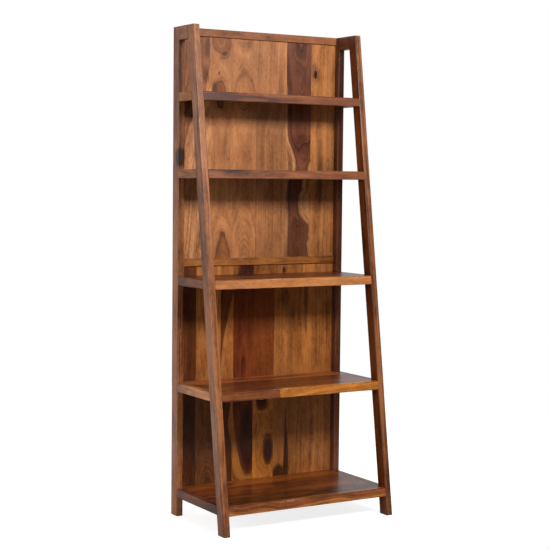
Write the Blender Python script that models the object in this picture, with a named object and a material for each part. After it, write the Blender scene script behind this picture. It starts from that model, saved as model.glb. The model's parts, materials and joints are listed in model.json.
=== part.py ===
"""Ladder bookcase in solid sheesham: five open shelves between two side frames.

Each side frame is an upright rear post and a front post that leans back,
joined by one rail per shelf and a deeper rail at the top.  Three back rails
and two boarded back panels tie the side frames together, and each shelf is a
glued-up top between its side rails with a thicker lip along the front.

Frame: metres, +Z up, X across the shelves, front towards -Y.  The origin is
on the floor, at the centre of the bounding box.
"""

import bpy
import bmesh

# ---------------------------------------------------------------- overall
HEIGHT = 1.750
WIDTH = 0.700
DEPTH_AT_FLOOR = 0.400
DEPTH_AT_TOP = 0.150
LEAN = (DEPTH_AT_FLOOR - DEPTH_AT_TOP) / HEIGHT

# ------------------------------------------------------------------ stock
POST_WIDTH = 0.025
POST_DEPTH = 0.045
TOP_SIDE_RAIL_HEIGHT = 0.048
SHELF_RAIL_HEIGHT = 0.031
LIP_THICKNESS = 0.020
BOARD_THICKNESS = 0.020
BACK_RAIL_HEIGHT = 0.028
BACK_RAIL_THICKNESS = 0.018
BACK_BOARD_THICKNESS = 0.010

# ----------------------------------------------------------------- levels
SHELF_TOPS = (0.100, 0.484, 0.866, 1.2475, 1.5175)
BOARDS_PER_SHELF = (4, 3, 3, 2, 2)
MID_BACK_RAIL_TOP = 0.9275

# Depths are measured forward from the plane of the rear posts' back faces.
BACK_RAIL_FRONT_DEPTH = 0.025
BACK_BOARD_FRONT_DEPTH = 0.019

# --------------------------------------------------- seams of the back, in X
UPPER_SEAMS = (-0.206, -0.115, -0.018, 0.112, 0.219)
LOWER_SEAMS = (-0.262, -0.160, -0.107, -0.022, 0.067, 0.192)

# ----------------------------------------------------------------- joints
GAP = 0.0003
SIDE_TENON_LENGTH = 0.020
SIDE_TENON_THICKNESS = 0.008
SIDE_TENON_HEIGHT = 0.018
TOP_TENON_HEIGHT = 0.032
BACK_TENON_LENGTH = 0.015
BACK_TENON_THICKNESS = 0.010
BACK_TENON_HEIGHT = 0.018
LIP_TENON_LENGTH = 0.014
LIP_TENON_THICKNESS = 0.008
LIP_TENON_HEIGHT = 0.016
LIP_TENON_SETBACK = 0.007
PANEL_GROOVE_DEPTH = 0.008
PANEL_TONGUE_LENGTH = 0.0075
TONGUE_HEIGHT = 0.006
TONGUE_LENGTH = 0.006
TONGUE_RECESS = 0.0005
LIP_GROOVE_STOP = 0.0015
FRONT_TONGUE_STOP = 0.003

# ------------------------------------------------------------- eased edges
POST_EASING = 0.0025
RAIL_EASING = 0.0020
EASING_SEGMENTS = 3

# ---------------------------------------------------------- derived planes
REAR_Y = DEPTH_AT_FLOOR / 2
HALF_WIDTH = WIDTH / 2
INNER_X = HALF_WIDTH - POST_WIDTH
POST_CENTRE_X = HALF_WIDTH - POST_WIDTH / 2
SIDES = {"left": -1, "right": 1}
OVERSHOOT = 0.010

# ----------------------------------------------- lacquered timber, by tone
TONES = {
    "tan": "#B07A52",
    "honey": "#A76E3F",
    "chestnut": "#8F5B38",
    "umber": "#6B4029",
    "walnut": "#55301A",
    "amber": "#B4743F",
}
ROUGHNESS = 0.32
BOARD_TONES = ("honey", "chestnut", "umber", "chestnut")
UPPER_TONES = ("chestnut", "tan", "honey", "tan", "umber", "amber")
LOWER_TONES = ("walnut", "chestnut", "amber", "walnut", "chestnut", "honey", "chestnut")


def y_at(depth):
    """World Y of a plane that lies `depth` forward of the rear plane."""
    return REAR_Y - depth


def front_depth(z):
    """Depth of the leaning front faces at height z."""
    return DEPTH_AT_FLOOR - LEAN * z


def linear(hex_colour):
    """Linear RGBA from an sRGB hex colour."""
    channels = []
    for start in (1, 3, 5):
        value = int(hex_colour[start:start + 2], 16) / 255
        low = value / 12.92
        high = ((value + 0.055) / 1.055) ** 2.4
        channels.append(low if value <= 0.04045 else high)
    return (*channels, 1.0)


def lacquered_wood(name, tone):
    """Semi-gloss lacquer over timber of one tone."""
    material = bpy.data.materials.new(name)
    material.use_nodes = True
    shader = material.node_tree.nodes["Principled BSDF"]
    shader.inputs["Base Color"].default_value = linear(TONES[tone])
    shader.inputs["Roughness"].default_value = ROUGHNESS
    shader.inputs["Metallic"].default_value = 0.0
    return material


def remove_scene_objects():
    """Start from an empty scene."""
    for item in list(bpy.data.objects):
        bpy.data.objects.remove(item, do_unlink=True)


def new_collection(name):
    """A collection linked to the scene."""
    collection = bpy.data.collections.new(name)
    bpy.context.scene.collection.children.link(collection)
    return collection


class Workshop:
    """Makes pieces and cutters, and joins one to the other."""

    def __init__(self):
        self.pieces = new_collection("ladder_shelf")
        self.tools = new_collection("joinery_tools")
        self.root = bpy.data.objects.new("ladder_shelf_origin", None)
        self.pieces.objects.link(self.root)

    def piece(self, name, bar, low, high, tone):
        """A named part made from the mesh of a bar, centred in its box."""
        mesh = bpy.data.meshes.new(name)
        bar.to_mesh(mesh)
        bar.free()
        mesh.materials.append(lacquered_wood(name, tone))
        item = bpy.data.objects.new(name, mesh)
        item.location = centre_of(low, high)
        item.parent = self.root
        self.pieces.objects.link(item)
        return item

    def tool(self, name, low, high):
        """A plain box that cuts a piece or is joined to it."""
        block = straight_bar(low, high)
        mesh = bpy.data.meshes.new(name)
        block.to_mesh(mesh)
        block.free()
        item = bpy.data.objects.new(name, mesh)
        item.location = centre_of(low, high)
        item.hide_render = True
        item.display_type = "WIRE"
        self.tools.objects.link(item)
        return item

    def apply_tool(self, item, operation, low, high):
        """Cut (DIFFERENCE) or join (UNION) a box with a piece."""
        label = f"{item.name}_{operation.lower()}_{len(item.modifiers)}"
        modifier = item.modifiers.new(label, "BOOLEAN")
        modifier.operation = operation
        modifier.solver = "EXACT"
        modifier.object = self.tool(label, low, high)


def centre_of(low, high):
    """Centre of a box."""
    return tuple((a + b) / 2 for a, b in zip(low, high))


def straight_bar(low, high):
    """A box centred on its own origin, as long as low to high on each axis."""
    bar = bmesh.new()
    bmesh.ops.create_cube(bar, size=1.0)
    size = [b - a for a, b in zip(low, high)]
    bmesh.ops.scale(bar, vec=size, verts=bar.verts)
    return bar


def lean_back(bar, front_only):
    """Shear a bar to the front posts' lean, or only its front end."""
    for vert in bar.verts:
        if vert.co.y < 0 or not front_only:
            vert.co.y += LEAN * vert.co.z


def ease_edges(bar, width, keep):
    """Round the edges for which keep(edge_direction, edge_middle) is true."""
    chosen = []
    for edge in bar.edges:
        start, end = (vert.co for vert in edge.verts)
        if keep(end - start, (start + end) / 2):
            chosen.append(edge)
    bmesh.ops.bevel(
        bar,
        geom=chosen,
        offset=width,
        offset_type="OFFSET",
        segments=EASING_SEGMENTS,
        profile=0.5,
        affect="EDGES",
        clamp_overlap=True,
    )


def every_edge(_direction, _middle):
    """All twelve edges of a bar."""
    return True


def runs_along(axis):
    """The four edges that follow one axis: 0 is X, 1 is Y, 2 is Z."""

    def keep(direction, _middle):
        return abs(direction[axis]) > 0.9 * direction.length

    return keep


def span_x(side, inner, outer):
    """Low and high X of a stretch given by its distances from the centre."""
    return (inner, outer) if side > 0 else (-outer, -inner)


# ------------------------------------------------------------------- posts
def shelf_housing(shop, item, side, level):
    """Groove in the inner face that takes the end tongues of one shelf."""
    top = SHELF_TOPS[level]
    middle = top - BOARD_THICKNESS / 2
    half = TONGUE_HEIGHT / 2 + GAP
    low_x, high_x = span_x(side, INNER_X - OVERSHOOT, INNER_X + TONGUE_LENGTH + GAP)
    front = y_at(lip_rear_depth(level))
    rear = y_at(shelf_rear_depth(level)) + GAP
    shop.apply_tool(
        item, "DIFFERENCE", (low_x, front, middle - half), (high_x, rear, middle + half)
    )


def rail_levels():
    """Underside, top and tenon height of the six rails in a side frame."""
    levels = []
    for top in SHELF_TOPS:
        levels.append((top - SHELF_RAIL_HEIGHT, top, SIDE_TENON_HEIGHT))
    levels.append((HEIGHT - TOP_SIDE_RAIL_HEIGHT, HEIGHT, TOP_TENON_HEIGHT))
    return levels


def side_tenon(side, bottom, top, height):
    """Box of the tenon that runs through a side rail into both posts."""
    x = side * POST_CENTRE_X
    half = SIDE_TENON_THICKNESS / 2
    middle = (bottom + top) / 2
    front = y_at(front_depth(middle) - POST_DEPTH + SIDE_TENON_LENGTH)
    rear = y_at(POST_DEPTH - SIDE_TENON_LENGTH)
    low = (x - half, front, middle - height / 2)
    high = (x + half, rear, middle + height / 2)
    return low, high


def widened(low, high):
    """A box grown by the assembly gap on every side."""
    return tuple(a - GAP for a in low), tuple(b + GAP for b in high)


def cut_side_mortises(shop, item, side):
    """Mortises for the six side rails, cut right through the joint line."""
    for bottom, top, height in rail_levels():
        low, high = widened(*side_tenon(side, bottom, top, height))
        shop.apply_tool(item, "DIFFERENCE", low, high)


def back_tenon(bottom, top):
    """Box of the tenon that runs through a back rail into both posts."""
    middle = (bottom + top) / 2
    reach = INNER_X + BACK_TENON_LENGTH
    low = (-reach, y_at(BACK_BOARD_FRONT_DEPTH), middle - BACK_TENON_HEIGHT / 2)
    high = (
        reach,
        y_at(BACK_BOARD_FRONT_DEPTH - BACK_TENON_THICKNESS),
        middle + BACK_TENON_HEIGHT / 2,
    )
    return low, high


def back_rail_levels():
    """Name, underside and top of the three back rails."""
    tops = {"bottom": SHELF_TOPS[0], "mid": MID_BACK_RAIL_TOP, "top": HEIGHT}
    return [(name, top - BACK_RAIL_HEIGHT, top) for name, top in tops.items()]


def make_rear_post(shop, name, side):
    """Upright post at the back, 25 x 45 mm."""
    low_x, high_x = span_x(side, INNER_X, HALF_WIDTH)
    low = (low_x, y_at(POST_DEPTH), 0.0)
    high = (high_x, REAR_Y, HEIGHT)
    bar = straight_bar(low, high)
    ease_edges(bar, POST_EASING, every_edge)
    post = shop.piece(f"rear_post_{name}", bar, low, high, "chestnut")

    groove_x = span_x(side, INNER_X - OVERSHOOT, INNER_X + PANEL_GROOVE_DEPTH)
    groove_front = y_at(BACK_BOARD_FRONT_DEPTH) - GAP
    groove_rear = y_at(BACK_BOARD_FRONT_DEPTH - BACK_BOARD_THICKNESS) + GAP
    panel_foot = SHELF_TOPS[0] - PANEL_TONGUE_LENGTH - GAP
    panel_head = HEIGHT - BACK_RAIL_HEIGHT + PANEL_TONGUE_LENGTH + GAP
    shop.apply_tool(
        post,
        "DIFFERENCE",
        (groove_x[0], groove_front, panel_foot),
        (groove_x[1], groove_rear, panel_head),
    )
    for _label, bottom, top in back_rail_levels():
        shop.apply_tool(post, "DIFFERENCE", *widened(*back_tenon(bottom, top)))
    cut_side_mortises(shop, post, side)
    for level in range(len(SHELF_TOPS)):
        shelf_housing(shop, post, side, level)


def make_front_post(shop, name, side):
    """Leaning front post, cut level at the floor and at the top."""
    low_x, high_x = span_x(side, INNER_X, HALF_WIDTH)
    middle_front = y_at(front_depth(HEIGHT / 2))
    low = (low_x, middle_front, 0.0)
    high = (high_x, middle_front + POST_DEPTH, HEIGHT)
    bar = straight_bar(low, high)
    lean_back(bar, front_only=False)
    ease_edges(bar, POST_EASING, every_edge)
    post = shop.piece(f"front_post_{name}", bar, low, high, "honey")
    cut_side_mortises(shop, post, side)
    for level in range(len(SHELF_TOPS)):
        shelf_housing(shop, post, side, level)
        shop.apply_tool(post, "DIFFERENCE", *widened(*lip_tenon(level)))


# ------------------------------------------------------------- side frames
def make_side_rail(shop, name, side, bottom, top, tenon_height, tone):
    """A rail between the posts, its front end cut to the post's lean."""
    low_x, high_x = span_x(side, INNER_X, HALF_WIDTH)
    middle = (bottom + top) / 2
    rear_face_depth = front_depth(middle) - POST_DEPTH
    low = (low_x, y_at(rear_face_depth) + GAP, bottom)
    high = (high_x, y_at(POST_DEPTH) - GAP, top)
    bar = straight_bar(low, high)
    lean_back(bar, front_only=True)
    ease_edges(bar, RAIL_EASING, runs_along(1))
    rail = shop.piece(name, bar, low, high, tone)
    tenon = side_tenon(side, bottom, top, tenon_height)
    shop.apply_tool(rail, "UNION", *tenon)
    return rail


def make_side_frame(shop, name, side):
    """Both posts of one side and the six rails between them."""
    make_rear_post(shop, name, side)
    make_front_post(shop, name, side)
    levels = rail_levels()
    shelf_tones = ("chestnut", "amber", "umber", "chestnut", "chestnut")
    for level, tone in enumerate(shelf_tones):
        label = f"shelf_{level + 1}_side_rail_{name}"
        rail = make_side_rail(shop, label, side, *levels[level], tone)
        shelf_housing(shop, rail, side, level)
    make_side_rail(shop, f"top_side_rail_{name}", side, *levels[-1], "chestnut")


# ------------------------------------------------------------------- backs
def make_back_rail(shop, name, bottom, top):
    """A rail across the back, tenoned into both rear posts."""
    reach = INNER_X - GAP
    low = (-reach, y_at(BACK_RAIL_FRONT_DEPTH), bottom)
    high = (reach, y_at(BACK_RAIL_FRONT_DEPTH - BACK_RAIL_THICKNESS), top)
    bar = straight_bar(low, high)
    ease_edges(bar, RAIL_EASING, runs_along(0))
    rail = shop.piece(f"{name}_back_rail", bar, low, high, "chestnut")
    shop.apply_tool(rail, "UNION", *back_tenon(bottom, top))

    groove_front = y_at(BACK_BOARD_FRONT_DEPTH) - GAP
    groove_rear = y_at(BACK_BOARD_FRONT_DEPTH - BACK_BOARD_THICKNESS) + GAP
    cut_reach = INNER_X + OVERSHOOT
    grooves = {
        "bottom": [(top - PANEL_GROOVE_DEPTH, top + OVERSHOOT)],
        "mid": [
            (top - PANEL_GROOVE_DEPTH, top + OVERSHOOT),
            (bottom - OVERSHOOT, bottom + PANEL_GROOVE_DEPTH),
        ],
        "top": [(bottom - OVERSHOOT, bottom + PANEL_GROOVE_DEPTH)],
    }
    for low_z, high_z in grooves[name]:
        shop.apply_tool(
            rail,
            "DIFFERENCE",
            (-cut_reach, groove_front, low_z),
            (cut_reach, groove_rear, high_z),
        )


def make_back_boards(shop, name, bottom, top, seams, tones):
    """Upright boards edge to edge between two back rails."""
    end = INNER_X + PANEL_TONGUE_LENGTH
    edges = (-end, *seams, end)
    front = y_at(BACK_BOARD_FRONT_DEPTH)
    for index, tone in enumerate(tones):
        low = (edges[index] + GAP / 2, front, bottom - PANEL_TONGUE_LENGTH)
        high = (
            edges[index + 1] - GAP / 2,
            front + BACK_BOARD_THICKNESS,
            top + PANEL_TONGUE_LENGTH,
        )
        label = f"{name}_back_board_{index + 1}"
        shop.piece(label, straight_bar(low, high), low, high, tone)


def make_back(shop):
    """Three rails and the two boarded panels between them."""
    rails = back_rail_levels()
    for name, bottom, top in rails:
        make_back_rail(shop, name, bottom, top)
    (_, _, bottom_top), (_, mid_bottom, mid_top), (_, top_bottom, _) = rails
    make_back_boards(shop, "lower", bottom_top, mid_bottom, LOWER_SEAMS, LOWER_TONES)
    make_back_boards(shop, "upper", mid_top, top_bottom, UPPER_SEAMS, UPPER_TONES)


# ----------------------------------------------------------------- shelves
def lip_rear_depth(level):
    """Depth of the lip's upright rear face, where the boards meet it."""
    return front_depth(SHELF_TOPS[level]) - LIP_THICKNESS


def shelf_rear_depth(level):
    """Depth where the boards stop: the bottom back rail, or the back boards."""
    return BACK_RAIL_FRONT_DEPTH if level == 0 else BACK_BOARD_FRONT_DEPTH


def lip_tenon(level):
    """Box of the tenon that runs through a lip into both front posts."""
    middle = SHELF_TOPS[level] - SHELF_RAIL_HEIGHT / 2
    front = y_at(front_depth(SHELF_TOPS[level]) - LIP_TENON_SETBACK)
    reach = INNER_X + LIP_TENON_LENGTH
    low = (-reach, front, middle - LIP_TENON_HEIGHT / 2)
    high = (reach, front + LIP_TENON_THICKNESS, middle + LIP_TENON_HEIGHT / 2)
    return low, high


def make_lip(shop, level):
    """Front edge of a shelf, flush with the leaning faces of the posts."""
    top = SHELF_TOPS[level]
    bottom = top - SHELF_RAIL_HEIGHT
    rear = y_at(lip_rear_depth(level))
    front = y_at(front_depth((top + bottom) / 2))
    reach = INNER_X - GAP
    low = (-reach, front, bottom)
    high = (reach, rear, top)
    bar = straight_bar(low, high)
    lean_back(bar, front_only=True)

    def front_edges(direction, middle):
        return abs(direction.x) > 0 and middle.y < 0

    ease_edges(bar, RAIL_EASING, front_edges)
    lip = shop.piece(f"shelf_{level + 1}_lip", bar, low, high, "honey")
    shop.apply_tool(lip, "UNION", *lip_tenon(level))

    middle = top - BOARD_THICKNESS / 2
    half = TONGUE_HEIGHT / 2 + GAP
    stop = INNER_X - LIP_GROOVE_STOP
    shop.apply_tool(
        lip,
        "DIFFERENCE",
        (-stop, rear - TONGUE_LENGTH - GAP, middle - half),
        (stop, rear + OVERSHOOT, middle + half),
    )


def make_shelf_boards(shop, level, count):
    """Boards of one shelf, with end tongues and a front tongue."""
    top = SHELF_TOPS[level]
    front = y_at(lip_rear_depth(level)) + GAP
    rear = y_at(shelf_rear_depth(level)) - GAP
    width = (rear - front) / count
    reach = INNER_X - GAP
    middle = top - BOARD_THICKNESS / 2
    tongue_low = middle - TONGUE_HEIGHT / 2
    tongue_high = middle + TONGUE_HEIGHT / 2
    for index in range(count):
        low_y = front + index * width
        high_y = low_y + width
        if index > 0:
            low_y += GAP / 2
        if index < count - 1:
            high_y -= GAP / 2
        low = (-reach, low_y, top - BOARD_THICKNESS)
        high = (reach, high_y, top)
        tone = BOARD_TONES[index % len(BOARD_TONES)]
        label = f"shelf_{level + 1}_board_{index + 1}"
        board = shop.piece(label, straight_bar(low, high), low, high, tone)
        tip = INNER_X + TONGUE_LENGTH
        shop.apply_tool(
            board,
            "UNION",
            (-tip, low_y + TONGUE_RECESS, tongue_low),
            (tip, high_y - TONGUE_RECESS, tongue_high),
        )
        if index == 0:
            stop = INNER_X - FRONT_TONGUE_STOP
            tongue_front = front - GAP - TONGUE_LENGTH
            shop.apply_tool(
                board,
                "UNION",
                (-stop, tongue_front, tongue_low + TONGUE_RECESS),
                (stop, front + OVERSHOOT, tongue_high - TONGUE_RECESS),
            )


def main():
    """Build the whole bookcase."""
    remove_scene_objects()
    shop = Workshop()
    for name, side in SIDES.items():
        make_side_frame(shop, name, side)
    make_back(shop)
    for level, count in enumerate(BOARDS_PER_SHELF):
        make_lip(shop, level)
        make_shelf_boards(shop, level, count)


if __name__ == "__main__":
    main()
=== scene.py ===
"""Ladder bookcase in solid sheesham, finished in semi-gloss lacquer.

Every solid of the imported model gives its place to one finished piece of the
same size, with its own run of grain: posts, rails, back boards, lips and shelf
boards.  Sizes are in metres in the model's frame: +Z up, front towards -Y.
"""

import json
import logging
import math
from dataclasses import dataclass
from enum import Enum
from functools import partial
from typing import Any

import bmesh
import bpy
from mathutils import Matrix, Vector

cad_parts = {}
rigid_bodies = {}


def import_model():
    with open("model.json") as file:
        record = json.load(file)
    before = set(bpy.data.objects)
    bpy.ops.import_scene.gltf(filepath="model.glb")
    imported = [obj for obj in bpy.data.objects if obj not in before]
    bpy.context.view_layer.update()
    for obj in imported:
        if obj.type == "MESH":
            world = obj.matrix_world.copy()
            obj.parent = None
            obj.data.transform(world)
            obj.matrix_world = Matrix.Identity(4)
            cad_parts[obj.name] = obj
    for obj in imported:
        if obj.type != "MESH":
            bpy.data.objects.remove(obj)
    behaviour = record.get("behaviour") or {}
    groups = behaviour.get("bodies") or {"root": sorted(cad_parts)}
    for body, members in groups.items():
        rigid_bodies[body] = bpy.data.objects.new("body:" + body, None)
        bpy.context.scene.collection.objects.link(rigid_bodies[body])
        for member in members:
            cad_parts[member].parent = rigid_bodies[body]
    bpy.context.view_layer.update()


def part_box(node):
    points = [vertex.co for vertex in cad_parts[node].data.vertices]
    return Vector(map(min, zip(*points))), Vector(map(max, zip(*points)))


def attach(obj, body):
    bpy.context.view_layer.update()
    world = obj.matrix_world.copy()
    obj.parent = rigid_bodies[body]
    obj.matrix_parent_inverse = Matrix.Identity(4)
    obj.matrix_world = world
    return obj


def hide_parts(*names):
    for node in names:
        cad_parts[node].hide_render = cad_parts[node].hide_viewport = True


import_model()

log = logging.getLogger("ladder_shelf")

Socket = bpy.types.NodeSocket
Tree = bpy.types.NodeTree
Run = tuple[tuple[float, float], ...]

ROOT = "root"
X_AXIS = Vector((1.0, 0.0, 0.0))
Y_AXIS = Vector((0.0, 1.0, 0.0))
Z_AXIS = Vector((0.0, 0.0, 1.0))
WHITE = (1.0, 1.0, 1.0, 1.0)

# Kinds and settings of nodes that come up again and again.
MATH = "ShaderNodeMath"
VECTOR_MATH = "ShaderNodeVectorMath"
MAP_RANGE = "ShaderNodeMapRange"
MIX = "ShaderNodeMix"
SPLIT = "ShaderNodeSeparateXYZ"
COMBINE = "ShaderNodeCombineXYZ"
SMOOTH = {"interpolation_type": "SMOOTHSTEP"}
PLUS = {"operation": "ADD"}
MINUS = {"operation": "SUBTRACT"}
TIMES = {"operation": "MULTIPLY"}
TIMES_PLUS = {"operation": "MULTIPLY_ADD"}
GREATER = {"operation": "MAXIMUM"}
POSITIVE = {"operation": "ABSOLUTE"}
LESS = {"operation": "LESS_THAN"}
LENGTH = {"operation": "LENGTH"}
DOT = {"operation": "DOT_PRODUCT"}


# ------------------------------------------------------------------ helpers
def linear(hex_colour: str) -> tuple[float, float, float, float]:
    """Linear RGBA from an sRGB hex colour.

    Args:
        hex_colour: Colour such as "#A0522D".

    Returns:
        Red, green, blue and alpha, each from 0 to 1.
    """
    channels = []
    for start in (1, 3, 5):
        value = int(hex_colour[start:start + 2], 16) / 255
        low = value / 12.92
        high = ((value + 0.055) / 1.055) ** 2.4
        channels.append(low if value <= 0.04045 else high)
    return (*channels, 1.0)


def add_node(
    tree: Tree, kind: str, settings: dict[str, Any], inputs: dict[Any, Any], out: Any = 0
) -> Any:
    """Add a node with its settings, its values and its links.

    Args:
        tree: Node tree that takes the node.
        kind: Blender's name of the node type.
        settings: Properties of the node, by name.
        inputs: Value or socket for each input, by name or index.
        out: Name or index of the output that is wanted.

    Returns:
        That output socket, or the node if it has no outputs.
    """
    node = tree.nodes.new(kind)
    for key, value in settings.items():
        setattr(node, key, value)
    for key, value in inputs.items():
        if isinstance(value, Socket):
            tree.links.new(value, node.inputs[key])
        else:
            node.inputs[key].default_value = value
    return node.outputs[out] if node.outputs else node


# ---------------------------------------------------------------- the timber
class Tone(Enum):
    """Body colour of one board of lacquered sheesham."""

    SAND = "#A66F45"
    TAN = "#9F663D"
    APRICOT = "#A86A39"
    HONEY = "#965920"
    OCHRE = "#895124"
    COPPER = "#8C4A1C"
    CHESTNUT = "#834E2B"
    SIENNA = "#773A0B"
    COCOA = "#6F3B1C"
    RUSSET = "#6A3210"
    MAROON = "#5F280B"
    UMBER = "#5A2F1B"
    WALNUT = "#4E2408"

    def ramp(self) -> list[tuple[float, ...]]:
        """Linear colours of the lines and the body of its wood.

        Returns:
            Colours of its dark lines, its body and its pale lines.
        """
        body = linear(self.value)
        shares = ((0.40, 0.34, 0.36), (1.0, 1.0, 1.0), (1.45, 1.60, 1.80))
        return [(*(c * k for c, k in zip(body, share)), 1.0) for share in shares]


@dataclass(frozen=True)
class Knot:
    """An eye in the figure, in metres from the board's centre.

    `width` and `length` are half its size.  The rings bend round it by `push`,
    `core` says how dark its middle is, and `edge` how soft its outline is.
    """

    across: float
    along: float
    width: float
    length: float
    push: float = 0.0
    core: float = 0.0
    edge: float = 0.25


@dataclass(frozen=True)
class Lie:
    """How a board lies in the bookcase: its centre, and two of its axes."""

    centre: Vector
    across: Vector
    along: Vector

    def rotation(self) -> tuple[float, float, float]:
        """Turn the frame's axes to the board's.

        Returns:
            Euler angles of the turn.
        """
        depth = self.along.cross(self.across)
        turn = Matrix((self.across, depth, self.along)).transposed()
        return tuple(turn.to_euler("XYZ"))


@dataclass(frozen=True)
class Grain:
    """How one board was sawn from the log, in metres from its centre.

    `sway` and `rise` give the pith's place across and behind the board at
    points along it, as (along, place) pairs.  Wood closer to the pith than
    `heart_radius` has the heart's tone, and the rest the sap's.  `edges` can
    say instead where the heart's two edges run on the board's `face`, as
    (along, left, right); where left is past right there is no heart.

    `heart_edge` is how soft that border is, and `outline` how dark the line
    along it is, `rim` wide.  `ring` is the width of a growth ring, `contrast`
    and `mottle` are the strength of rings and of mottling, `wander` is how far
    the rings stray, and `shade` is the board's brightness along its length:
    partly the wood's own drift of tone, partly painted shade where less light
    falls, and painted reflection.
    """

    heart: Tone
    sap: Tone
    seed: float
    sway: Run = ((0.0, 0.0),)
    rise: Run = ((0.0, 0.05),)
    edges: tuple[tuple[float, float, float], ...] = ()
    heart_radius: float = 1.0
    heart_edge: float = 0.002
    face: float = -0.005
    outline: float = 0.35
    rim: float = 0.003
    ring: float = 0.007
    contrast: float = 1.0
    mottle: float = 1.0
    wander: float = 0.010
    shade: Run = ((0.0, 1.0),)
    knots: tuple[Knot, ...] = ()

    def pith(self) -> tuple[Run, Run]:
        """Work out the pith's path.

        Returns:
            Its places across and behind the board.
        """
        if not self.edges:
            return self.sway, self.rise
        sway, rise = [], []
        for along, left, right in self.edges:
            # The heart is a cylinder, so its width on the face says how deep
            # the pith lies.
            half = min((right - left) / 2, 0.999 * self.heart_radius)
            deep = self.heart_radius - half
            if half > 0:
                deep = math.sqrt(self.heart_radius**2 - half**2)
            sway.append((along, (left + right) / 2))
            rise.append((along, deep + self.face))
        return tuple(sway), tuple(rise)


@dataclass(frozen=True)
class LacqueredSheesham:
    """Planed sheesham under clear semi-gloss lacquer.

    Gives the eye ribbons of dark and pale growth rings, short open pores, a
    slow drift of colour along each board, partly painted shade and painted
    reflection, and a soft sheen.
    """

    roughness: float = 0.40
    pore_roughness: float = 0.58
    gloss: float = 0.16
    coat: float = 0.35
    coat_roughness: float = 0.22
    # Real pores are 0.2 mm wide and 3 mm long.  They are drawn 4 mm wide and
    # 15 mm long, the finest dash that shows on a whole bookcase.
    pore_width: float = 0.004
    pore_length: float = 0.015
    pore_cut: tuple[float, float] = (0.56, 0.72)
    pore_darkness: float = 0.34
    relief_depth: float = 0.0002
    relief_strength: float = 0.35
    ring_relief: float = 0.3
    core_tone: str = "#1B0905"
    # Rings bend out to this many knot sizes, and its outline strays this much.
    knot_reach: float = 2.2
    knot_ragged: float = 1.2
    # Patches about 70 mm across took this much more or less of the finish.
    patch_pace: tuple[float, float] = (14.0, 5.0)
    patch_spread: float = 0.14
    # Rings stray in swells about 100 mm wide and 300 mm long.
    swell_pace: tuple[float, float] = (10.0, 3.3)
    # Cut ends drink the finish and look darker.
    end_tone: float = 0.62

    def make(self, name: str, grain: Grain, lie: Lie) -> bpy.types.Material:
        """Material of one board.

        Args:
            name: Name of the material.
            grain: How the board was sawn.
            lie: Where the board lies.

        Returns:
            The new material.
        """
        material = bpy.data.materials.new(name)
        material.use_nodes = True
        material.node_tree.nodes.clear()
        Figure(self, material.node_tree, grain, lie).lacquer()
        return material


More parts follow.
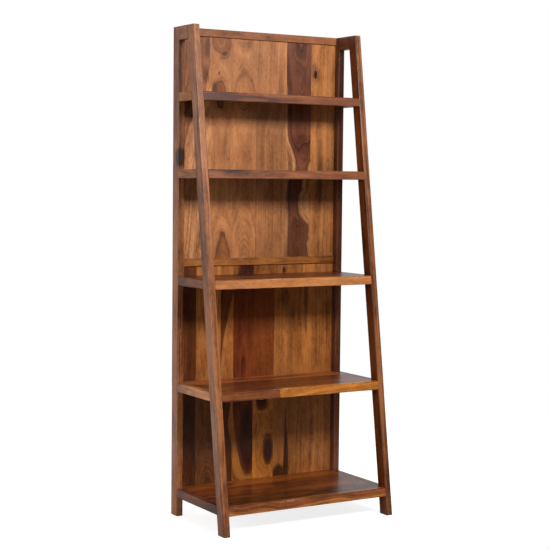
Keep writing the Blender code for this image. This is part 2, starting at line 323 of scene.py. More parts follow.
class Figure:
    """Lays out the nodes of one board's material, in the board's own axes."""

    # Bands of a few years together, then the single years in them: bands in a
    # ring's width, changes in a metre along the board, shift, detail, weight.
    RINGS = ((0.35, 1.6, 0.0, 1.0, 1.0), (1.3, 3.0, 7.0, 2.0, 0.7), (2.6, 1.5, 4.0, 1.0, 0.9))
    # Mottling and fleck: width, length, shift, weight.
    MOTTLES = ((0.040, 0.090, 3.0, 1.0), (0.006, 0.016, 5.0, 0.5))
    # Places of the dark lines, the body and the pale lines on a tone's ramp.
    STOPS = (0.1, 0.5, 0.9)

    def __init__(self, finish: LacqueredSheesham, tree: Tree, grain: Grain, lie: Lie) -> None:
        """Find each point's place in the board.

        Args:
            finish: Finish of the board.
            tree: Node tree of its material.
            grain: How it was sawn.
            lie: Where it lies.
        """
        self.finish, self.grain, self.lie = finish, grain, lie
        self.add = partial(add_node, tree)
        self.seed = grain.seed * Vector((1.0, 1.7, 0.6))
        place = self.add("ShaderNodeTexCoord", {}, {}, "Object")
        turned = {"Vector": place, "Location": lie.centre, "Rotation": lie.rotation()}
        self.board = self.add("ShaderNodeMapping", {"vector_type": "TEXTURE"}, turned)
        self.along = self.add(SPLIT, {}, {0: self.board}, "Z")
        self.swell = self.cloud(finish.swell_pace, self.seed, 4.0, 0.42)[1]

    def run(self, points: Run) -> Any:
        """Value that changes along the board, such as the pith's place.

        Args:
            points: (along, value) pairs, from low to high.

        Returns:
            A constant for one pair, or the output of a curve through all.
        """
        if len(points) == 1:
            return points[0][1]
        low, high = points[0][0], points[-1][0]
        ends = {"Value": self.along, "From Min": low, "From Max": high}
        share = self.add(MAP_RANGE, {}, ends)
        curve = self.add("ShaderNodeFloatCurve", {}, {"Value": share})
        mapping = curve.node.mapping
        mapping.use_clip = False
        line = mapping.curves[0]
        spots = [((g - low) / (high - low), value) for g, value in points]
        line.points[0].location = spots[0]
        line.points[1].location = spots[-1]
        for spot in spots[1:-1]:
            line.points.new(*spot)
        for point in line.points:
            point.handle_type = "AUTO_CLAMPED"
        mapping.update()
        return curve

    def cloud(
        self, pace: tuple[float, float], shift: Vector, detail: float, roughness: float = 0.6
    ) -> Any:
        """Noise laid over the board and stretched along it.

        Args:
            pace: Clouds in a metre across the board, and along it.
            shift: Where in the noise the board lies.
            detail: Layers of finer noise.
            roughness: Strength of the finer layers.

        Returns:
            The noise's outputs: its value, then its colour.
        """
        spread = {0: self.board, 1: (pace[0], *pace), 2: shift}
        spot = self.add(VECTOR_MATH, TIMES_PLUS, spread)
        values = {"Vector": spot, "Scale": 1.0, "Detail": detail, "Roughness": roughness}
        return self.add("ShaderNodeTexNoise", {}, values).node.outputs

    def distance(self) -> Socket:
        """Measure how far each point is from the pith, as the rings follow it.

        Returns:
            The distance.
        """
        reach = self.grain.wander
        stray = {0: self.swell, 1: (2 * reach, 2 * reach, 0.0), 2: (-reach, -reach, 0.0)}
        drift = self.add(VECTOR_MATH, TIMES_PLUS, stray)
        sway, rise = (self.run(points) for points in self.grain.pith())
        pith = self.add(COMBINE, {}, {"X": sway, "Y": rise, "Z": self.along})
        drifted = self.add(VECTOR_MATH, PLUS, {0: self.board, 1: drift})
        away = self.add(VECTOR_MATH, MINUS, {0: drifted, 1: pith})
        return self.add(VECTOR_MATH, LENGTH, {0: away}, "Value")

    def eyes(self, radius: Socket) -> tuple[Socket, Any]:
        """Bend the rings round the board's knots and darken their middles.

        Args:
            radius: Distance from the pith.

        Returns:
            The bent radius, and how dark each point is from 0 to 1.
        """
        add = self.add
        ragged = add(SPLIT, {}, {0: self.swell}, "Z")
        stray = self.finish.knot_ragged
        wobble = add(MATH, TIMES_PLUS, {0: ragged, 1: stray, 2: -stray / 2})
        dark: Any = 0.0
        for knot in self.grain.knots:
            offset = {0: self.board, 1: (knot.across, 0.0, knot.along)}
            offset = add(VECTOR_MATH, MINUS, offset)
            scaled = {0: offset, 1: (1 / knot.width, 0.0, 1 / knot.length)}
            scaled = add(VECTOR_MATH, TIMES, scaled)
            far = add(VECTOR_MATH, LENGTH, {0: scaled}, "Value")
            if knot.push:
                ends = {"From Max": self.finish.knot_reach, "To Min": knot.push, "To Max": 0.0}
                bend = add(MAP_RANGE, SMOOTH, {"Value": far, **ends})
                radius = add(MATH, PLUS, {0: radius, 1: bend})
            if knot.core:
                strayed = add(MATH, PLUS, {0: far, 1: wobble})
                border = {"From Min": 1 - knot.edge, "From Max": 1 + knot.edge}
                ends = {"Value": strayed, **border, "To Min": knot.core, "To Max": 0.0}
                core = add(MAP_RANGE, SMOOTH, ends)
                dark = add(MATH, GREATER, {0: core, 1: dark})
        return radius, dark

    def rings(self, radius: Socket) -> Socket:
        """Growth rings, mottling and fleck.

        Args:
            radius: Distance from the pith.

        Returns:
            How pale each point is: the body's tone is at 0.5.
        """
        add, grain = self.add, self.grain
        full = grain.contrast * sum(ring[-1] for ring in self.RINGS)
        full += grain.mottle * sum(mottle[-1] for mottle in self.MOTTLES)
        level: Any = 0.5 - 0.5 * full
        for spread, pace, offset, detail, weight in self.RINGS:
            step = add(MATH, TIMES, {0: radius, 1: spread / grain.ring})
            pull = add(MATH, TIMES, {0: self.along, 1: pace})
            spot = {"X": step, "Y": pull, "Z": grain.seed + offset}
            spot = add(COMBINE, {}, spot)
            values = {"Vector": spot, "Scale": 1.0, "Detail": detail, "Roughness": 0.6}
            lines = add("ShaderNodeTexNoise", {}, values)
            level = add(MATH, TIMES_PLUS, {0: lines, 1: weight * grain.contrast, 2: level})
        for width, length, offset, weight in self.MOTTLES:
            spots = self.cloud((1 / width, 1 / length), offset * self.seed, 3.0)[0]
            level = add(MATH, TIMES_PLUS, {0: spots, 1: weight * grain.mottle, 2: level})
        return level

    def wood(self, radius: Socket, level: Socket) -> tuple[Socket, Socket]:
        """Heart and sap, and the dark line where they meet.

        Args:
            radius: Distance from the pith.
            level: How pale each point is.

        Returns:
            The wood's colour, and how dark the line is at each point.
        """
        add, grain = self.add, self.grain
        low, high = grain.heart_radius - grain.heart_edge, grain.heart_radius + grain.heart_edge
        ends = {"From Min": low, "From Max": high, "To Min": 1.0, "To Max": 0.0}
        inside = add(MAP_RANGE, SMOOTH, {"Value": radius, **ends})
        tones = []
        for tone in (grain.sap, grain.heart):
            ramp = add("ShaderNodeValToRGB", {}, {"Fac": level})
            stops = ramp.node.color_ramp.elements
            stops.new(0.5)
            for stop, spot, colour in zip(stops, self.STOPS, tone.ramp()):
                stop.position = spot
                stop.color = colour
            tones.append(ramp)
        timber = add(MIX, {"data_type": "RGBA"}, {0: inside, 6: tones[0], 7: tones[1]}, 2)
        rim = add(MATH, MINUS, {0: radius, 1: grain.heart_radius})
        rim = add(MATH, POSITIVE, {0: rim})
        ends = {"Value": rim, "From Max": grain.rim, "To Min": grain.outline, "To Max": 0.0}
        return timber, add(MAP_RANGE, SMOOTH, ends)

    def strength(self) -> Socket:
        """Vary the finish: patchy along the board, painted shade and reflection along it, and dark
        at its ends.

        Returns:
            What the colour's brightness is multiplied by.
        """
        add, finish = self.add, self.finish
        patch = self.cloud(finish.patch_pace, 3 * self.seed, 3.0)[0]
        spread = {"To Min": 1 - finish.patch_spread, "To Max": 1 + finish.patch_spread}
        value = add(MAP_RANGE, {}, {"Value": patch, "From Min": 0.3, "From Max": 0.7, **spread})
        # Brightness along the board: the wood's own drift together with painted shade and painted
        # reflection.
        value = add(MATH, TIMES, {0: value, 1: self.run(self.grain.shade)})
        facing = add("ShaderNodeNewGeometry", {}, {}, "Normal")
        end = add(VECTOR_MATH, DOT, {0: facing, 1: self.lie.along}, "Value")
        end = add(MATH, POSITIVE, {0: end})
        ends = {"Value": end, "From Min": 0.5, "To Min": 1.0, "To Max": finish.end_tone}
        end = add(MAP_RANGE, {}, ends)
        return add(MATH, TIMES, {0: value, 1: end})

    def lacquer(self) -> None:
        """Colour, pores, relief and sheen of the finished surface."""
        add, finish = self.add, self.finish
        radius, dark = self.eyes(self.distance())
        level = self.rings(radius)
        timber, rim = self.wood(radius, level)
        dark = add(MATH, GREATER, {0: rim, 1: dark})

        pace = (1 / finish.pore_width, 1 / finish.pore_length)
        pore = self.cloud(pace, Vector(), 2.0, 0.5)[0]
        low, high = finish.pore_cut
        pore = add(MAP_RANGE, SMOOTH, {"Value": pore, "From Min": low, "From Max": high})
        veil = {0: pore, 1: finish.pore_darkness, 2: dark}
        veil = add(MATH, {**TIMES_PLUS, "use_clamp": True}, veil)
        veiled = {0: veil, 6: timber, 7: linear(finish.core_tone)}
        timber = add(MIX, {"data_type": "RGBA"}, veiled, 2)
        toned = {"Color": timber, "Value": self.strength()}
        timber = add("ShaderNodeHueSaturation", {}, toned)

        ends = {"To Min": finish.roughness, "To Max": finish.pore_roughness}
        rough = add(MAP_RANGE, {}, {"Value": pore, **ends})
        ridge = add(MATH, TIMES, {0: level, 1: finish.ring_relief})
        relief = add(MATH, MINUS, {0: ridge, 1: pore})
        depth = {"Strength": finish.relief_strength, "Distance": finish.relief_depth}
        bump = add("ShaderNodeBump", {}, {**depth, "Height": relief})
        surface = {
            "Base Color": timber,
            "Roughness": rough,
            "Normal": bump,
            "Specular IOR Level": finish.gloss,
            "Coat Weight": finish.coat,
            "Coat Roughness": finish.coat_roughness,
        }
        shader = add("ShaderNodeBsdfPrincipled", {}, surface)
        add("ShaderNodeOutputMaterial", {}, {"Surface": shader})


# ----------------------------------------------------------------- the stock
class Axis(Enum):
    """Direction of a bar's length, with the turn that brings +Z to it."""

    X = (X_AXIS, (0.0, math.pi / 2, 0.0))
    Y = (Y_AXIS, (-math.pi / 2, 0.0, 0.0))
    Z = (Z_AXIS, (0.0, 0.0, 0.0))

    def along(self) -> Vector:
        """Unit vector of the direction."""
        return self.value[0]

    def turn(self) -> tuple[float, float, float]:
        """Euler angles that bring +Z to the direction."""
        return self.value[1]


@dataclass(frozen=True)
class Body:
    """Straight outline of a bar before its front leans: two corners."""

    low: Vector
    high: Vector
    axis: Axis
    front_easing: float
    rear_easing: float
    lean: float = 0.0

    def centre(self) -> Vector:
        """Middle of the bar."""
        return (self.low + self.high) / 2

    def profile(self) -> tuple[float, float, float]:
        """Width, depth and length of the bar while it stands along +Z."""
        x, y, z = self.high - self.low
        return {Axis.X: (z, y, x), Axis.Y: (x, z, y), Axis.Z: (x, y, z)}[self.axis]


class BarMill:
    """Mills bars with eased long edges: rails, lips and boards.

    One Geometry Nodes tree makes them all.  It extrudes a rounded rectangle
    along +Z, turns it to its axis, puts it in place and leans its front half.
    """

    INPUTS = {
        "NodeSocketFloat": ("Width", "Depth", "Length", "Front Easing", "Rear Easing", "Lean"),
        "NodeSocketVector": ("Turn", "Place"),
        "NodeSocketMaterial": ("Finish",),
    }
    EASING_STEPS = 4
    WELD = 1e-6
    # A normal with a part above this lies along an axis, so its face is flat.
    FLAT = 0.9999

    def __init__(self) -> None:
        """Build the node tree."""
        self.tree = bpy.data.node_groups.new("eased_bar", "GeometryNodeTree")
        face = self.tree.interface
        self.ids = {}
        for kind, names in self.INPUTS.items():
            for name in names:
                item = face.new_socket(name, in_out="INPUT", socket_type=kind)
                self.ids[name] = item.identifier
        face.new_socket("Bar", in_out="OUTPUT", socket_type="NodeSocketGeometry")
        add = partial(add_node, self.tree)
        given = add("NodeGroupInput", {}, {}).node.outputs
        here = add("GeometryNodeInputPosition", {}, {})

        shell = self.extrude(given, here)
        shell = self.shade(shell)
        stood = {"Translation": given["Place"], "Rotation": given["Turn"]}
        shell = add("GeometryNodeTransform", {}, {"Geometry": shell, **stood})

        offset = add(VECTOR_MATH, MINUS, {0: here, 1: given["Place"]})
        away = add(SPLIT, {}, {0: offset}).node.outputs
        leaning = add("FunctionNodeCompare", LESS, {0: away["Y"], 1: 0.0})
        shift = add(MATH, TIMES, {0: away["Z"], 1: given["Lean"]})
        shift = add(COMBINE, {}, {"Y": shift})
        leant = {"Geometry": shell, "Selection": leaning, "Offset": shift}
        shell = add("GeometryNodeSetPosition", {}, leant)
        shell = add("GeometryNodeRealizeInstances", {}, {"Geometry": shell})
        dressed = {"Geometry": shell, "Material": given["Finish"]}
        shell = add("GeometryNodeSetMaterial", {}, dressed)
        add("NodeGroupOutput", {}, {"Bar": shell})

    def extrude(self, given: Any, here: Socket) -> Socket:
        """Extrude the rounded rectangle, centred on the origin.

        Args:
            given: Inputs of the tree.
            here: Place of each point.

        Returns:
            The closed bar.
        """
        add = partial(add_node, self.tree)
        size = {"Width": given["Width"], "Height": given["Depth"]}
        kind = "GeometryNodeCurvePrimitiveQuadrilateral"
        outline = add(kind, {"mode": "RECTANGLE"}, size)
        here_y = add(SPLIT, {}, {0: here}, "Y")
        in_front = add("FunctionNodeCompare", LESS, {0: here_y, 1: 0.0})
        either = {"False": given["Rear Easing"], "True": given["Front Easing"]}
        choice = {"Switch": in_front, **either}
        easing = add("GeometryNodeSwitch", {"input_type": "FLOAT"}, choice)
        rounding = {"Count": self.EASING_STEPS, "Radius": easing, "Limit Radius": True}
        rounding["Curve"] = outline
        outline = add("GeometryNodeFilletCurve", {"mode": "POLY"}, rounding)
        section = add("GeometryNodeFillCurve", {"mode": "NGONS"}, {"Curve": outline})
        rise = add(COMBINE, {}, {"Z": given["Length"]})
        run = {"Mesh": section, "Offset": rise, "Individual": False}
        walls = add("GeometryNodeExtrudeMesh", {"mode": "FACES"}, run)
        foot = add("GeometryNodeFlipFaces", {}, {"Mesh": section})
        shell = add("GeometryNodeJoinGeometry", {}, {"Geometry": walls})
        self.tree.links.new(foot, shell.node.inputs["Geometry"])
        weld = {"Geometry": shell, "Distance": self.WELD}
        shell = add("GeometryNodeMergeByDistance", {}, weld)
        half = add(VECTOR_MATH, {"operation": "SCALE"}, {0: rise, "Scale": -0.5})
        centred = {"Geometry": shell, "Translation": half}
        return add("GeometryNodeTransform", {}, centred)

    def shade(self, shell: Socket) -> Socket:
        """Shade the eased edges round and keep the flat faces flat.

        Args:
            shell: The bar.

        Returns:
            The same bar, shaded.
        """
        add = partial(add_node, self.tree)
        normal = add("GeometryNodeInputNormal", {}, {})
        steep = add(VECTOR_MATH, POSITIVE, {0: normal})
        part = add(SPLIT, {}, {0: steep}).node.outputs
        most = add(MATH, GREATER, {0: part[0], 1: part[1]})
        most = add(MATH, GREATER, {0: most, 1: part[2]})
        rounded = add("FunctionNodeCompare", LESS, {0: most, 1: self.FLAT})
        smoothed = {"Geometry": shell, "Shade Smooth": rounded}
        return add("GeometryNodeSetShadeSmooth", {}, smoothed)

    def mill(self, name: str, body: Body, finish: bpy.types.Material) -> bpy.types.Object:
        """Make one bar as a plain mesh.

        Args:
            name: Name of the piece.
            body: Its outline.
            finish: Its material.

        Returns:
            The new object, at the origin.
        """
        width, depth, length = body.profile()
        values = {
            "Width": width,
            "Depth": depth,
            "Length": length,
            "Front Easing": body.front_easing,
            "Rear Easing": body.rear_easing,
            "Turn": body.axis.turn(),
            "Place": body.centre(),
            "Lean": body.lean,
            "Finish": finish,
        }
        item = bpy.data.objects.new(name, bpy.data.meshes.new(name))
        bpy.context.scene.collection.objects.link(item)
        modifier = item.modifiers.new("eased_bar", "NODES")
        modifier.node_group = self.tree
        for key, value in values.items():
            modifier[self.ids[key]] = value
        shown = item.evaluated_get(bpy.context.evaluated_depsgraph_get())
        mesh = bpy.data.meshes.new_from_object(shown)
        item.modifiers.clear()
        blank = item.data
        item.data = mesh
        bpy.data.meshes.remove(blank)
        mesh.name = name
        return item


# ---------------------------------------------------------- shared dimensions
@dataclass(frozen=True)
class Setting:
    """Planes that every sub-assembly shares."""

    depth_at_floor: float = 0.400
    lean: float = 0.250 / 1.750
    post_depth: float = 0.045
    lip_thickness: float = 0.020
    rail_easing: float = 0.0020
    board_easing: float = 0.0003
    # Finished pieces butt this far into their neighbours, so no light leaks.
    nip: float = 0.0002

    def rear(self) -> float:
        """Y of the rear posts' back faces."""
        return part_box("rear_post_left")[1].y

    def reach(self) -> float:
        """Half the length of a piece that runs from post to post."""
        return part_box("rear_post_right")[0].x + self.nip

    def front(self, height: float) -> float:
        """Y of the leaning front faces at one height."""
        return self.rear() - self.depth_at_floor + self.lean * height

    def panel(self) -> float:
        """Y of the back boards' front faces."""
        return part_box("upper_back_board_1")[0].y


@dataclass(frozen=True)
class Workshop:
    """What every sub-assembly is made with."""

    setting: Setting
    mill: BarMill
    finish: LacqueredSheesham

    def install(self, item: bpy.types.Object, node: str, slot: str) -> None:
        """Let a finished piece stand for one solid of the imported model.

        Args:
            item: The finished piece.
            node: Name of the solid.
            slot: Name of the record's material slot.
        """
        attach(item, ROOT)
        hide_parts(node)
        log.info("%s: %d faces, %s", item.name, len(item.data.polygons), slot)

    def bar(self, node: str, slot: str, body: Body, across: Vector, grain: Grain) -> None:
        """Make one straight piece with eased edges and install it.

        Args:
            node: Name of the solid that it stands for.
            slot: Name of the record's material slot.
            body: Its outline.
            across: Direction of its visible width.
            grain: How it was sawn.
        """
        lie = Lie(body.centre(), across, body.axis.along())
        finish = self.finish.make(f"lacquered_{node}", grain, lie)
        self.install(self.mill.mill(f"{node}_finished", body, finish), node, slot)


# --------------------------------------------------------------- side frames
class Side(Enum):
    """Side of the bookcase, as seen from the front."""

    LEFT = "left"
    RIGHT = "right"


@dataclass(frozen=True)
class SideFrame:
    """Upright rear post, leaning front post and the six rails between them."""

    side: Side
    shop: Workshop
    post_easing: float = 0.0025
    post_easing_steps: int = 5

    def post(self, node: str, slot: str, lean: float, grain: Grain) -> None:
        """Make one post from a bar with all its edges eased.

        Args:
            node: Name of the solid that it stands for.
            slot: Name of the record's material slot.
            lean: Run back per metre of height.
            grain: How it was sawn.
        """
        low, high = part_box(node)
        if lean:
            low.y = self.shop.setting.front(0.0)
            high.y = low.y + self.shop.setting.post_depth
        block = bmesh.new()
        bmesh.ops.create_cube(block, size=1.0)
        for vert in block.verts:
            for axis in range(3):
                vert.co[axis] = high[axis] if vert.co[axis] > 0 else low[axis]
            vert.co.y += lean * vert.co.z
        bmesh.ops.bevel(
            block,
            geom=block.edges[:],
            offset=self.post_easing,
            offset_type="OFFSET",
            segments=self.post_easing_steps,
            profile=0.5,
            affect="EDGES",
            clamp_overlap=True,
        )
        for face in block.faces:
            lengths = [edge.calc_length() for edge in face.edges]
            corner = len(lengths) == 3 or face.calc_area() < 4 * self.post_easing**2
            long = max(lengths) > 4 * self.post_easing
            face.smooth = corner or (long and min(lengths) < self.post_easing)
        mesh = bpy.data.meshes.new(f"{node}_finished")
        block.to_mesh(mesh)
        block.free()
        along = Vector((0.0, lean, 1.0)).normalized()
        across = Vector((0.0, 1.0, -lean)).normalized()
        centre = (low + high) / 2
        centre.y += lean * centre.z
        lie = Lie(centre, across, along)
        mesh.materials.append(self.shop.finish.make(f"lacquered_{node}", grain, lie))
        item = bpy.data.objects.new(mesh.name, mesh)
        bpy.context.scene.collection.objects.link(item)
        self.shop.install(item, node, slot)

    def rail(self, node: str, slot: str, grain: Grain) -> None:
        """Make one rail between the posts.

        Args:
            node: Name of the solid that it stands for.
            slot: Name of the record's material slot.
            grain: How it was sawn.
        """
        setting = self.shop.setting
        low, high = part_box(node)
        post_low, post_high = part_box(f"rear_post_{self.side.value}")
        middle = (low.z + high.z) / 2
        low.x, high.x = post_low.x, post_high.x
        low.y = setting.front(middle) + setting.post_depth - setting.nip
        high.y = post_low.y + setting.nip
        easing = setting.rail_easing
        body = Body(low, high, Axis.Y, easing, easing, setting.lean)
        self.shop.bar(node, slot, body, Z_AXIS, grain)

    def build(self) -> None:
        """Make both posts and the six rails."""
        side = self.side.value
        lean = self.shop.setting.lean
        grains = SIDE_GRAINS[self.side]
        self.post(f"rear_post_{side}", "chestnut", 0.0, grains["rear"])
        self.post(f"front_post_{side}", "honey", lean, grains["front"])
        self.rail(f"top_side_rail_{side}", "chestnut", grains["rails"][5])
        slots = ("chestnut", "amber", "umber", "chestnut", "chestnut")
        for level, slot in enumerate(slots):
            node = f"shelf_{level + 1}_side_rail_{side}"
            self.rail(node, slot, grains["rails"][level])


# ---------------------------------------------------------------------- back
@dataclass(frozen=True)
class Back:
    """Three rails and the two boarded panels between them."""

    shop: Workshop

    def rail(self, node: str, grain: Grain) -> None:
        """Make one rail across the back.

        Args:
            node: Name of the solid that it stands for.
            grain: How it was sawn.
        """
        setting = self.shop.setting
        low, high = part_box(node)
        low.x, high.x = -setting.reach(), setting.reach()
        body = Body(low, high, Axis.X, setting.rail_easing, setting.rail_easing)
        self.shop.bar(node, "chestnut", body, Z_AXIS, grain)

    def board(self, node: str, bottom: float, top: float, slot: str, grain: Grain) -> None:
        """Make one upright board.

        Args:
            node: Name of the solid that it stands for.
            bottom: Height where its visible face starts.
            top: Height where its visible face ends.
            slot: Name of the record's material slot.
            grain: How it was sawn.
        """
        setting = self.shop.setting
        low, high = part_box(node)
        low.x = max(low.x - setting.nip, -setting.reach())
        high.x = min(high.x + setting.nip, setting.reach())
        low.z, high.z = bottom - setting.nip, top + setting.nip
        body = Body(low, high, Axis.Z, setting.board_easing, setting.board_easing)
        self.shop.bar(node, slot, body, X_AXIS, grain)

    def build(self) -> None:
        """Make the rails, then each panel from left to right."""
        for name, grain in BACK_RAIL_GRAINS.items():
            self.rail(f"{name}_back_rail", grain)
        for panel, (below, above) in {"lower": ("bottom", "mid"), "upper": ("mid", "top")}.items():
            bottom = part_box(f"{below}_back_rail")[1].z
            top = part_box(f"{above}_back_rail")[0].z
            pairs = zip(PANEL_SLOTS[panel], PANEL_GRAINS[panel])
            for index, (slot, grain) in enumerate(pairs):
                self.board(f"{panel}_back_board_{index + 1}", bottom, top, slot, grain)


# ------------------------------------------------------------------- shelves
@dataclass(frozen=True)
class Shelf:
    """One shelf: its lip and the boards behind it, front one first."""

    number: int
    shop: Workshop

    def lip_rear(self) -> float:
        """Y of the lip's upright rear face."""
        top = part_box(f"shelf_{self.number}_lip")[1].z
        return self.shop.setting.front(top) + self.shop.setting.lip_thickness

    def lip(self, grain: Grain) -> None:
        """Make the lip, its front face leaning with the posts.

        Args:
            grain: How it was sawn.
        """
        setting = self.shop.setting
        node = f"shelf_{self.number}_lip"
        low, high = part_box(node)
        low.x, high.x = -setting.reach(), setting.reach()
        low.y = setting.front((low.z + high.z) / 2)
        high.y = self.lip_rear()
        easings = (setting.rail_easing, setting.board_easing)
        body = Body(low, high, Axis.X, *easings, setting.lean)
        self.shop.bar(node, "honey", body, Z_AXIS, grain)

    def board(self, index: int, count: int, slot: str, grain: Grain) -> None:
        """Make one board of the top.

        Args:
            index: Its place from the front, from 0.
            count: How many boards the shelf has.
            slot: Name of the record's material slot.
            grain: How it was sawn.
        """
        setting = self.shop.setting
        node = f"shelf_{self.number}_board_{index + 1}"
        low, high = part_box(node)
        low.x, high.x = -setting.reach(), setting.reach()
        if index == 0:
            low.y = self.lip_rear()
        if index == count - 1:
            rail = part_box("bottom_back_rail")[0].y
            high.y = rail if self.number == 1 else setting.panel()
        low.y -= setting.nip
        high.y += setting.nip
        body = Body(low, high, Axis.X, setting.board_easing, setting.board_easing)
        self.shop.bar(node, slot, body, -Y_AXIS, grain)

    def build(self) -> None:
        """Make the lip, then the boards from front to back."""
        lip, boards = SHELF_GRAINS[self.number]
        self.lip(lip)
        slots = ("honey", "chestnut", "umber", "chestnut")
        for index, grain in enumerate(boards):
            self.board(index, len(boards), slots[index], grain)


# ------------------------------------------------------------ run of the grain
def plain(tone: Tone, seed: float, **traits: Any) -> Grain:
    """Grain of a board whose heart and sap have one tone.

    Args:
        tone: That tone.
        seed: Where in the noise the board lies.
        traits: Any other fields of the grain.

    Returns:
        The grain.
    """
    return Grain(tone, tone, seed, **traits)


def top_boards(seed: float, tones: tuple[Tone, ...], **traits: Any) -> list[Grain]:
    """Grain of the boards of one shelf, from the front.

    Args:
        seed: Seed of the front board; the others count up from it.
        tones: Tone of each board.
        traits: Any other fields that their grains share.

    Returns:
        One grain for each board.
    """
    return [plain(tone, seed + index, **traits) for index, tone in enumerate(tones)]


# Boards 4 to 6 grow darker towards the bottom of the panel: painted shade, as less light reaches
# the lower bays.
UPPER_GRAINS = (
    Grain(
        Tone.CHESTNUT, Tone.SAND, 1.0,
        edges=(
            (-0.4, -0.5, -0.1), (0.1, -0.5, -0.02), (0.207, -0.5, 0.036), (0.251, -0.5, 0.047),
            (0.295, -0.5, 0.0555), (0.4, -0.5, 0.057),
        ),
        heart_radius=0.35, heart_edge=0.003, outline=0.1, wander=0.003,
        shade=((-0.4, 1.0), (-0.1, 1.0), (-0.05, 1.15), (0.15, 1.15), (0.2, 1.0), (0.4, 1.0)),
        knots=(
            Knot(0.044, 0.357, 0.014, 0.034, 0.005, 0.55, 0.6),
            Knot(0.036, 0.262, 0.015, 0.03, 0.005, 0.6, 0.6),
        ),
    ),
    Grain(
        Tone.CHESTNUT, Tone.TAN, 2.0,
        edges=(
            (-0.405, -0.026, 0.0385), (-0.35, -0.0144, 0.0248), (-0.322, -0.0031, 0.013),
            (-0.304, 0.003, 0.005), (-0.28, 0.01, -0.004), (-0.2, 0.02, -0.02),
            (0.05, 0.02, -0.02), (0.13, 0.0, -0.012), (0.145, -0.008, -0.005),
            (0.17, -0.022, 0.004), (0.204, -0.0405, 0.0152), (0.226, -0.035, 0.0082),
            (0.239, -0.0194, 0.001), (0.243, -0.006, -0.0034), (0.265, 0.002, -0.01),
            (0.3, 0.01, -0.012), (0.33, 0.006, 0.004), (0.338, 0.0, 0.015),
            (0.351, -0.0272, 0.0254), (0.375, -0.041, 0.0335), (0.405, -0.044, 0.031),
        ),
        heart_radius=0.045, heart_edge=0.0008, outline=0.6, rim=0.0014, contrast=0.6, mottle=0.7,
        wander=0.0008, ring=0.006,
        knots=(
            Knot(0.007, 0.375, 0.017, 0.02, 0.003, 0.0),
            Knot(-0.0142, 0.271, 0.004, 0.006, 0.003, 0.7, 0.4),
            Knot(0.009, 0.34, 0.01, 0.008, 0.0, 0.55, 0.6),
            Knot(-0.032, 0.218, 0.01, 0.02, 0.0, 0.55, 0.6),
        ),
    ),
    plain(
        Tone.TAN, 3.0,
        rise=(
            (-0.4, 0.02), (-0.27, 0.05), (-0.15, 0.065), (0.1, 0.058), (0.16, 0.045),
            (0.2, 0.028), (0.33, 0.056), (0.36, 0.05), (0.405, 0.025),
        ),
        contrast=0.5, mottle=0.75, wander=0.004, ring=0.006,
        knots=(
            Knot(0.0145, 0.38, 0.009, 0.012, 0.004, 0.4, 0.6),
            Knot(0.008, 0.377, 0.026, 0.022, 0.004, 0.22, 0.4),
        ),
    ),
    Grain(
        Tone.TAN, Tone.SAND, 4.0,
        edges=((-0.4, -0.5, 0.0515), (0.06, -0.5, 0.053), (0.15, -0.5, 0.075), (0.4, -0.5, 0.09)),
        heart_radius=0.35, heart_edge=0.003, outline=0.0, contrast=0.6, mottle=0.8, wander=0.003,
        shade=((-0.4, 0.76), (-0.1, 0.74), (0.1, 0.8), (0.17, 0.92), (0.4, 0.98)),
    ),
    Grain(
        Tone.UMBER, Tone.SAND, 5.0,
        edges=(
            (-0.405, -0.043, 0.049), (-0.373, -0.043, 0.043), (-0.347, -0.0425, 0.04),
            (-0.331, -0.042, 0.0463), (-0.314, -0.0415, 0.0446), (-0.297, -0.041, 0.047),
            (-0.28, -0.0404, 0.0441), (-0.263, -0.041, 0.0266), (-0.247, -0.0415, 0.0116),
            (-0.226, -0.0425, 0.0039), (-0.188, -0.044, 0.0009), (-0.163, -0.043, 0.0031),
            (-0.147, -0.042, 0.0142), (-0.118, -0.0415, 0.0147), (-0.072, -0.0079, 0.0387),
            (-0.046, -0.0095, 0.0458), (-0.035, -0.0105, 0.056), (-0.014, -0.0185, 0.06),
            (0.015, -0.0311, 0.062), (0.035, -0.041, 0.065), (0.06, -0.0462, 0.068),
            (0.105, -0.0478, 0.07), (0.221, -0.0492, 0.075), (0.307, -0.0576, 0.08),
            (0.4, -0.066, 0.08),
        ),
        heart_radius=0.08, heart_edge=0.0012, outline=0.6, wander=0.002, ring=0.005, contrast=1.3,
        shade=((-0.4, 0.75), (-0.1, 0.78), (-0.05, 1.1), (0.15, 1.2), (0.2, 1.0), (0.4, 1.08)),
        knots=(
            Knot(0.003, 0.3, 0.02, 0.03, 0.01, 0.3, 0.7),
            Knot(0.0229, 0.015, 0.013, 0.024, 0.008, 0.4, 0.5),
            Knot(0.019, 0.045, 0.014, 0.02, 0.0, 0.35, 0.8),
        ),
    ),
    plain(
        Tone.APRICOT, 6.0, sway=((0.0, 0.1),), contrast=0.6, mottle=0.9, wander=0.006,
        shade=((-0.4, 0.78), (-0.1, 0.78), (0.0, 0.92), (0.4, 0.92)),
        knots=(
            Knot(-0.034, 0.284, 0.006, 0.014, 0.006, 0.95, 0.3),
            Knot(-0.034, 0.288, 0.014, 0.03, 0.0, 0.4, 0.5),
            Knot(-0.009, -0.09, 0.013, 0.105, 0.004, 0.55, 0.6),
        ),
    ),
)
